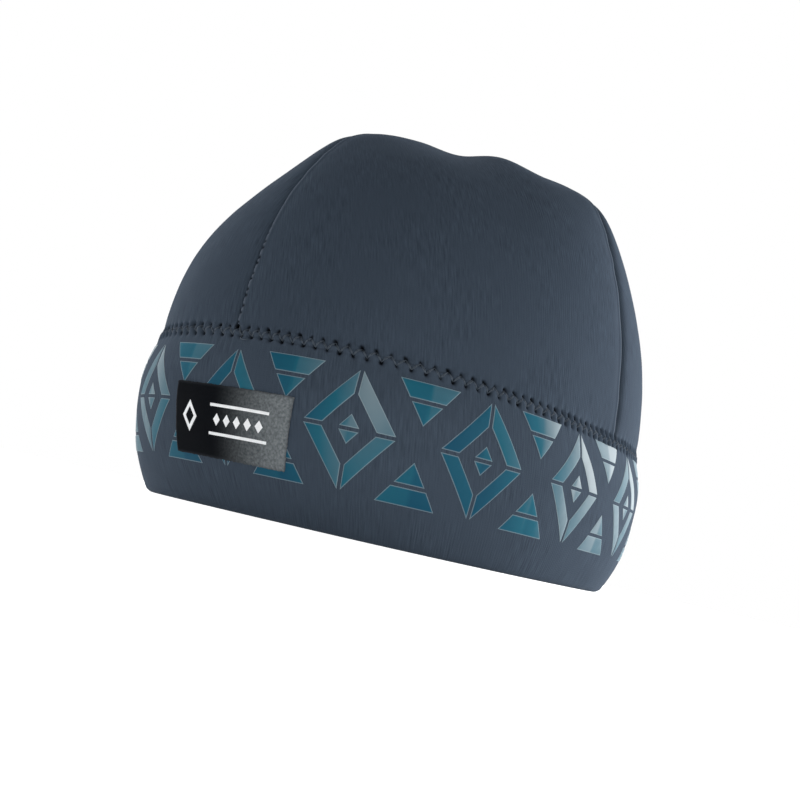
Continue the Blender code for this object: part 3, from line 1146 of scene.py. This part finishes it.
def noiseNode(tree, place, scale, detail=2.0, dimensions="3D"):
    inputs = {"Vector": place, "Scale": scale, "Detail": detail}
    return addNode(tree, "ShaderNodeTexNoise", inputs, noise_dimensions=dimensions).outputs["Fac"]


def rangeNode(tree, value, start, end=(0.0, 1.0), kind="LINEAR"):
    inputs = {"Value": value, "From Min": start[0], "From Max": start[1]}
    inputs.update({"To Min": end[0], "To Max": end[1]})
    return addNode(tree, "ShaderNodeMapRange", inputs, interpolation_type=kind).outputs["Result"]


def bumpNode(tree, height, strength, distance, below=None):
    inputs = {"Height": height, "Strength": strength, "Distance": distance}
    if below is not None:
        inputs["Normal"] = below
    return addNode(tree, "ShaderNodeBump", inputs).outputs[0]


def mixColour(tree, amount, first, second):
    return addNode(tree, "ShaderNodeMix", {0: amount, 6: first, 7: second}, data_type="RGBA").outputs[2]


def readAttribute(tree, name):
    return addNode(tree, "ShaderNodeAttribute", attribute_name=name).outputs["Fac"]


def splitNode(tree, vector):
    return addNode(tree, "ShaderNodeSeparateXYZ", {0: vector}).outputs


def clothPlace(tree):
    return addNode(tree, "ShaderNodeUVMap", uv_map="Cloth").outputs[0]


def objectPlace(tree):
    return addNode(tree, "ShaderNodeTexCoord").outputs["Object"]


def newGroup(name, inputs):  # a group that gives a height and a tone
    group = bpy.data.node_groups.new(name, "ShaderNodeTree")
    for socket, kind in inputs.items():
        group.interface.new_socket(socket, in_out="INPUT", socket_type=kind)
    for socket in ("Height", "Tone"):
        group.interface.new_socket(socket, in_out="OUTPUT", socket_type="NodeSocketFloat")
    return group, addNode(group, "NodeGroupInput").outputs


# Fine ribs of knitted jersey: scales and counts per centimetre of cloth
knitForm = {
    "slant": 0.17,
    "wander": 0.05,
    "wanderScale": 1.6,
    "loops": 15.0,
    "streaks": (23.0, 1.5),  # across and up
    "patches": 0.45,
    "clearFrom": (0.35, 0.60),  # the streaks come and go in patches
    "clearTo": (0.5, 2.3),
    "ribHeight": 0.5,
    "loopHeight": 0.3,
    "streakHeight": 1.6,
}


def knitFace():
    kinds = {"Cloth": "NodeSocketVector", "Ribs per cm": "NodeSocketFloat"}
    group, start = newGroup("knitFace", kinds)
    cloth = start["Cloth"]
    split = splitNode(group, cloth)
    wander = noiseNode(group, cloth, knitForm["wanderScale"], dimensions="2D")
    aslant = plus(group, split["X"], times(group, split["Y"], knitForm["slant"]))
    across = plus(group, aslant, times(group, wander, knitForm["wander"]))
    ribPlace = times(group, across, start["Ribs per cm"])
    ribs = wave(group, ribPlace)
    fromRib = mathNode(group, "ABSOLUTE", minus(group, mathNode(group, "FRACT", ribPlace), 0.5))
    loops = wave(group, minus(group, times(group, split["Y"], knitForm["loops"]), fromRib))
    aside, upwards = knitForm["streaks"]
    place = {"X": times(group, aslant, aside), "Y": times(group, split["Y"], upwards)}
    streakPlace = addNode(group, "ShaderNodeCombineXYZ", place).outputs[0]
    streaks = noiseNode(group, streakPlace, 1.0, dimensions="2D")
    patches = noiseNode(group, cloth, knitForm["patches"], dimensions="2D")
    clearness = rangeNode(group, patches, knitForm["clearFrom"], knitForm["clearTo"])
    height = times(group, ribs, knitForm["ribHeight"])
    height = plus(group, height, times(group, loops, knitForm["loopHeight"]))
    height = plus(group, height, times(group, streaks, knitForm["streakHeight"]))
    tone = plus(group, times(group, minus(group, streaks, 0.5), clearness), 0.5)
    addNode(group, "NodeGroupOutput", {"Height": height, "Tone": tone})
    return group


# Short fibres and lint in object space: scales per metre, and each one's share of the tone
fibreForm = {"fine": 1800.0, "fineShare": 0.6, "broad": 60.0, "broadDetail": 3.0, "broadShare": 0.4}


def fibres():
    group, start = newGroup("fibres", {"Place": "NodeSocketVector"})
    fine = noiseNode(group, start["Place"], fibreForm["fine"])
    broad = noiseNode(group, start["Place"], fibreForm["broad"], fibreForm["broadDetail"])
    tone = plus(group, times(group, fine, fibreForm["fineShare"]),
                times(group, broad, fibreForm["broadShare"]))
    addNode(group, "NodeGroupOutput", {"Height": fine, "Tone": tone})
    return group


knitGroup = knitFace()
fibreGroup = fibres()


def addFibres(tree, place):
    return addNode(tree, "ShaderNodeGroup", node_tree=fibreGroup, inputs={"Place": place}).outputs


jersey = {
    "crown": ((0.0250, 0.0345, 0.0490), (0.0430, 0.0590, 0.0820)),  # dark and light yarns
    # the band's yarns are painted a little lighter than the crown's: painted light for the light it gets
    # from below
    "band": ((0.0280, 0.0385, 0.0540), (0.0490, 0.0665, 0.0915)),
    "marks": {  # painted attributes: edge is a painted highlight, groove and hole are painted shade; each gives its colour and how strong it is
        "edge": ((0.085, 0.105, 0.135), 0.60),
        "groove": ((0.0010, 0.0018, 0.0034), 0.97),
        "hole": ((0.0010, 0.0018, 0.0034), 0.92),
    },
    "ribsPerCm": 10.5,
    "knitShare": 0.70,  # of the tone
    "fibreShare": 0.30,
    "ribBump": (0.25, 0.08 * mm),  # strength and distance
    "fibreBump": (0.30, 0.10 * mm),
    "shader": {
        "Roughness": 0.82,
        "Specular IOR Level": 0.06,
        "Sheen Weight": 0.03,
        "Sheen Roughness": 0.35,
        "Sheen Tint": (0.52, 0.68, 0.92),
    },
}


def jerseyMaterial(name, dark, light):
    material, tree, shader = newMaterial(name, jersey["shader"])
    inputs = {"Cloth": clothPlace(tree), "Ribs per cm": jersey["ribsPerCm"]}
    knit = addNode(tree, "ShaderNodeGroup", node_tree=knitGroup, inputs=inputs).outputs
    lint = addFibres(tree, objectPlace(tree))
    tone = plus(tree, times(tree, knit["Tone"], jersey["knitShare"]),
                times(tree, lint["Tone"], jersey["fibreShare"]))
    colour = mixColour(tree, tone, dark, light)
    for mark, (markColour, strength) in jersey["marks"].items():
        colour = mixColour(tree, times(tree, readAttribute(tree, mark), strength), colour, markColour)
    feed(tree, shader.inputs["Base Color"], colour)
    ribBump = bumpNode(tree, knit["Height"], *jersey["ribBump"])
    feed(tree, shader.inputs["Normal"], bumpNode(tree, lint["Height"], *jersey["fibreBump"], ribBump))
    return material


crownMaterial = jerseyMaterial("crownJersey", *jersey["crown"])
for piece in crown.values():
    piece.data.materials.append(crownMaterial)
# the band's lighter yarns are painted light from below
foldedBand.data.materials.append(jerseyMaterial("bandJersey", *jersey["band"]))

# Plain yarns of the seams and of the label's mark
yarns = {
    # the seam thread is paler than the cloth: partly its own colour, partly a painted highlight
    "seamThread": {
        "dark": (0.036, 0.047, 0.061),
        "light": (0.080, 0.100, 0.125),
        "shader": {"Roughness": 0.55, "Specular IOR Level": 0.12, "Sheen Weight": 0.04},
    },
    "markYarn": {
        "dark": (0.62, 0.64, 0.66),
        "light": (0.92, 0.93, 0.94),
        "shader": {"Roughness": 0.5},
    },
}


def yarnMaterial(name):
    yarn = yarns[name]
    material, tree, shader = newMaterial(name, yarn["shader"])
    tone = addFibres(tree, objectPlace(tree))["Tone"]
    feed(tree, shader.inputs["Base Color"], mixColour(tree, tone, yarn["dark"], yarn["light"]))
    return material


seamMaterial = yarnMaterial("seamThread")
for piece in seamThreads:
    piece.data.materials.append(seamMaterial)
labelMark.data.materials.append(yarnMaterial("markYarn"))

# Black satin with a painted grey sheen from its middle on; places are in centimetres of its cloth map
satin = {
    "black": ((0.0014, 0.0020, 0.0032), (0.0036, 0.0046, 0.0064)),
    "sheenGrey": ((0.085, 0.097, 0.104), (0.190, 0.208, 0.218)),
    "frayed": (0.030, 0.034, 0.040),
    "frayStrength": 0.5,
    "paintedSheen": (-0.1, 2.8),  # painted sheen, paler from the middle on
    "lower": (1.9, 3.4),  # and most of all near the lower edge
    "upperShare": 0.45,
    "specks": (1300.0, 4.0),  # scale and detail
    "mottled": (0.30, 0.70),
    "weave": (2600.0, 1.0),
    "bump": (0.30, 0.08 * mm),
    "shader": {"Roughness": 0.50, "Specular IOR Level": 0.02},
}


def labelMaterial():
    material, tree, shader = newMaterial("labelSatin", satin["shader"])
    place = objectPlace(tree)
    colour = mixColour(tree, addFibres(tree, place)["Tone"], *satin["black"])
    split = splitNode(tree, clothPlace(tree))
    # painted sheen: grey from the middle of the label on, most of all near its lower edge
    paintedSheen = rangeNode(tree, split["X"], satin["paintedSheen"], kind="SMOOTHSTEP")
    lower = rangeNode(tree, split["Y"], satin["lower"], (1.0, satin["upperShare"]))
    mottled = rangeNode(tree, noiseNode(tree, place, *satin["specks"]), satin["mottled"])
    sheenGrey = mixColour(tree, mottled, *satin["sheenGrey"])
    colour = mixColour(tree, times(tree, paintedSheen, lower), colour, sheenGrey)
    edge = times(tree, readAttribute(tree, "fray"), satin["frayStrength"])
    feed(tree, shader.inputs["Base Color"], mixColour(tree, edge, colour, satin["frayed"]))
    weave = noiseNode(tree, place, *satin["weave"])
    feed(tree, shader.inputs["Normal"], bumpNode(tree, weave, *satin["bump"]))
    return material


wovenLabel.data.materials.append(labelMaterial())

film = {
    "stops": (  # of the painted shade, from deep teal to the silver of the painted reflection
        (0.0, (0.000, 0.052, 0.096)),
        (0.35, (0.006, 0.088, 0.132)),
        (0.65, (0.078, 0.140, 0.174)),
        (1.0, (0.280, 0.325, 0.350)),
    ),
    # painted highlight along the film's raised edges
    "rim": (0.24, 0.30, 0.33),
    "rimStrength": 0.7,
    "shader": {"Roughness": 0.58, "Specular IOR Level": 0.15},
}


def filmMaterial():
    material, tree, shader = newMaterial("pearlFilm", film["shader"])
    ramp = addNode(tree, "ShaderNodeValToRGB", {"Fac": readAttribute(tree, "shade")})
    stops = ramp.color_ramp.elements
    stops.remove(stops[1])
    for position, colour in film["stops"]:
        stop = stops.new(position) if position else stops[0]
        stop.color = (*colour, 1.0)
    # painted highlight along the film's edges
    edge = times(tree, readAttribute(tree, "rim"), film["rimStrength"])
    feed(tree, shader.inputs["Base Color"], mixColour(tree, edge, ramp.outputs["Color"], film["rim"]))
    return material


bandPrint.data.materials.append(filmMaterial())
print("materials done")

# Floor, light and camera
studio = {
    "turn": 36.1,  # the camera's azimuth, towards the wearer's left
    "distance": 0.42,
    "height": 0.004,
    "roll": 12.8,  # the photo's tilt
    "lens": 49.9,
    "aimRight": 0.0090,
    "aimUp": 0.0539,
    "floorRadius": 1.6,
    "floorGlow": 0.45,
    "floorLift": 0.20,  # what the camera sees of it beyond that
    "skyTurn": 150,  # where the room is brightest
    "skyFrom": (-0.7, 0.9),  # cosines between which it turns from dark to bright
    "skyDark": 0.36,
    "skyBright": 1.05,
    "skyUp": (0.1, 1.0),  # heights between which it turns to what comes from straight above
    "skyTop": 0.4,  # as a share of what comes from the sides
    "lightAim": 0.07,  # the height that the lights look at
}
lights = {  # the matt cloth shows no glare at its outline, so the rear ones stay out of the gloss
    "rightRear": {
        "azimuth": 160, "elevation": 10, "distance": 1.7, "size": 1.1, "watts": 74, "inGloss": False},
    "rightSide": {"azimuth": 92, "elevation": 8, "distance": 1.7, "size": 1.2, "watts": 12},
    "leftRear": {
        "azimuth": -86, "elevation": 26, "distance": 1.7, "size": 1.4, "watts": 37, "inGloss": False},
    "front": {"azimuth": -8, "elevation": 10, "distance": 1.3, "size": 0.45, "watts": 1.1},
}


def seenByCamera(tree):
    return addNode(tree, "ShaderNodeLightPath").outputs["Is Camera Ray"]


def buildStage():
    bpy.ops.mesh.primitive_circle_add(
        vertices=96, radius=studio["floorRadius"], fill_type="NGON", location=(0, 0, 0))
    floor = bpy.context.object
    floor.name = "floor"
    material, tree, shader = newMaterial("paleFloor", {
        "Base Color": (0.80, 0.80, 0.80),
        "Roughness": 0.9,
        "Specular IOR Level": 0.1,
        "Emission Color": (1.0, 1.0, 1.0),
    })
    glow = plus(tree, times(tree, seenByCamera(tree), studio["floorLift"]), studio["floorGlow"])
    feed(tree, shader.inputs["Emission Strength"], glow)
    floor.data.materials.append(material)


def buildWorld():
    world = bpy.data.worlds.new("studio")
    bpy.context.scene.world = world
    world.use_nodes = True
    tree = world.node_tree
    direction = addNode(tree, "ShaderNodeTexCoord").outputs["Generated"]
    facing = addNode(tree, "ShaderNodeVectorMath", {0: direction}, operation="DOT_PRODUCT")
    facing.inputs[1].default_value = heading(studio["skyTurn"])
    sideways = rangeNode(tree, facing.outputs["Value"], studio["skyFrom"],
                         (studio["skyDark"], studio["skyBright"]), kind="SMOOTHSTEP")
    upwards = rangeNode(tree, splitNode(tree, direction)["Z"], studio["skyUp"], (1.0, studio["skyTop"]))
    light = times(tree, sideways, upwards)
    strength = addNode(tree, "ShaderNodeMix", {0: seenByCamera(tree), 2: light, 3: 1.0}, data_type="FLOAT")
    background = tree.nodes["Background"]
    feed(tree, background.inputs["Color"], (1.0, 1.0, 1.0))
    feed(tree, background.inputs["Strength"], strength.outputs[0])


def addLight(name, azimuth, elevation, distance, size, watts, inGloss=True):
    data = bpy.data.lights.new(name, "AREA")
    data.shape = "SQUARE"
    data.size = size
    data.energy = watts
    light = bpy.data.objects.new(name, data)
    bpy.context.scene.collection.objects.link(light)
    lift = math.radians(elevation)
    away = heading(azimuth) * math.cos(lift) + Vector((0, 0, math.sin(lift)))
    light.location = Vector((0, 0, studio["lightAim"])) + away * distance
    light.rotation_euler = (-away).to_track_quat("-Z", "Y").to_euler()
    light.visible_glossy = inGloss


def buildCamera():
    data = bpy.data.cameras.new("camera")
    data.lens = studio["lens"]
    data.clip_start = 0.01
    data.clip_end = 20
    camera = bpy.data.objects.new("camera", data)
    bpy.context.scene.collection.objects.link(camera)
    bpy.context.scene.camera = camera
    place = fromAxis(studio["turn"], studio["height"], studio["distance"])
    centre = Vector((hat["middleX"], hat["middleY"], 0.0))
    roll = Quaternion((0, 0, 1), math.radians(studio["roll"]))
    facing = (centre - place).to_track_quat("-Z", "Y") @ roll
    aim = centre + facing @ Vector((studio["aimRight"], studio["aimUp"], 0.0))
    camera.location = place
    camera.rotation_mode = "QUATERNION"
    camera.rotation_quaternion = (aim - place).to_track_quat("-Z", "Y") @ roll


buildStage()
buildWorld()
for name, facts in lights.items():
    addLight(name, **facts)
buildCamera()
bpy.context.scene.view_settings.view_transform = "Standard"
print("stage done")
